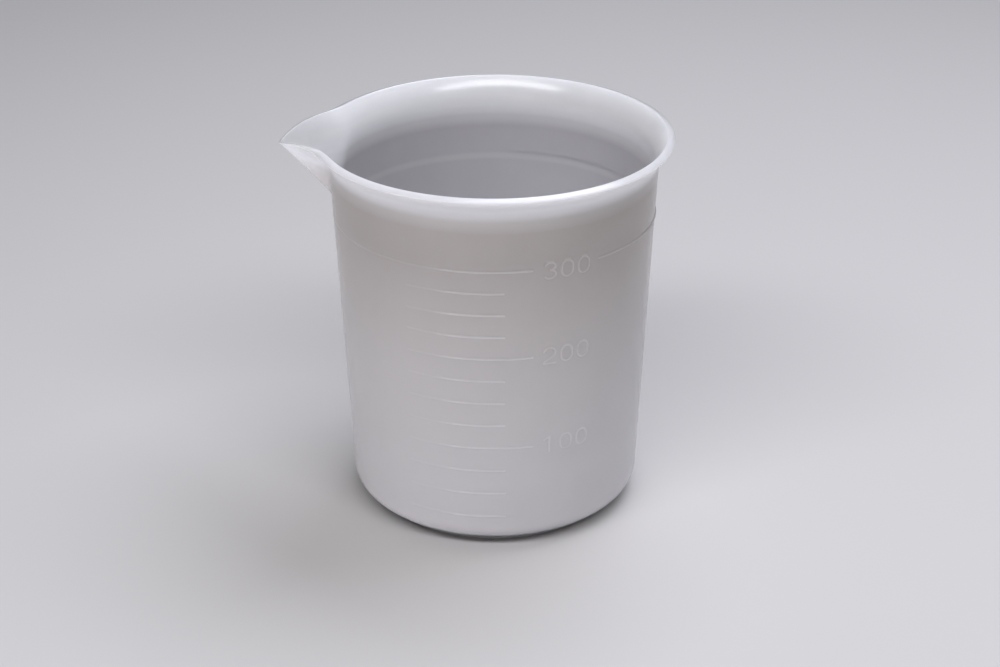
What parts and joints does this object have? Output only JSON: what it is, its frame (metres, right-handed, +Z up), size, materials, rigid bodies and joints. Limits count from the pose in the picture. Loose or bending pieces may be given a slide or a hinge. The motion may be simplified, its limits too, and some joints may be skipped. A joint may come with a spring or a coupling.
{
  "type": "laboratory beaker",
  "caption": "Low-form plastic laboratory beaker with a flared rim, a pouring spout, a raised scale with numbers and a foot ring.",
  "frame": {"origin": "on the beaker's axis, in the plane that its foot ring stands on; the middle of the floor's underside is 0.7 mm above it", "axes": "+Z up along the beaker's axis, -X out through the pouring spout, -Y out through the side with the scale"},
  "size_m": [0.0961, 0.0874, 0.0954],
  "materials": {
    "vessel_plastic": "milky natural polypropylene, moulded, semi-gloss, slightly translucent",
    "foot_plastic": "milky natural polypropylene, moulded, satin, dulled by standing",
    "mark_plastic": "the same polypropylene, raised in the mould, semi-gloss"
  },
  "bodies": {
    "root": {"vessel": "vessel_plastic", "foot_ring": "foot_plastic", "fill_ring_300": "mark_plastic", "line_25": "mark_plastic", "line_50": "mark_plastic", "line_75": "mark_plastic", "line_100": "mark_plastic", "line_125": "mark_plastic", "line_150": "mark_plastic", "line_175": "mark_plastic", "line_200": "mark_plastic", "line_225": "mark_plastic", "line_250": "mark_plastic", "line_275": "mark_plastic", "numeral_100_hundreds": "mark_plastic", "numeral_100_tens": "mark_plastic", "numeral_100_units": "mark_plastic", "numeral_200_hundreds": "mark_plastic", "numeral_200_tens": "mark_plastic", "numeral_200_units": "mark_plastic", "numeral_300_hundreds": "mark_plastic", "numeral_300_tens": "mark_plastic", "numeral_300_units": "mark_plastic"}
  },
  "joints": []
}
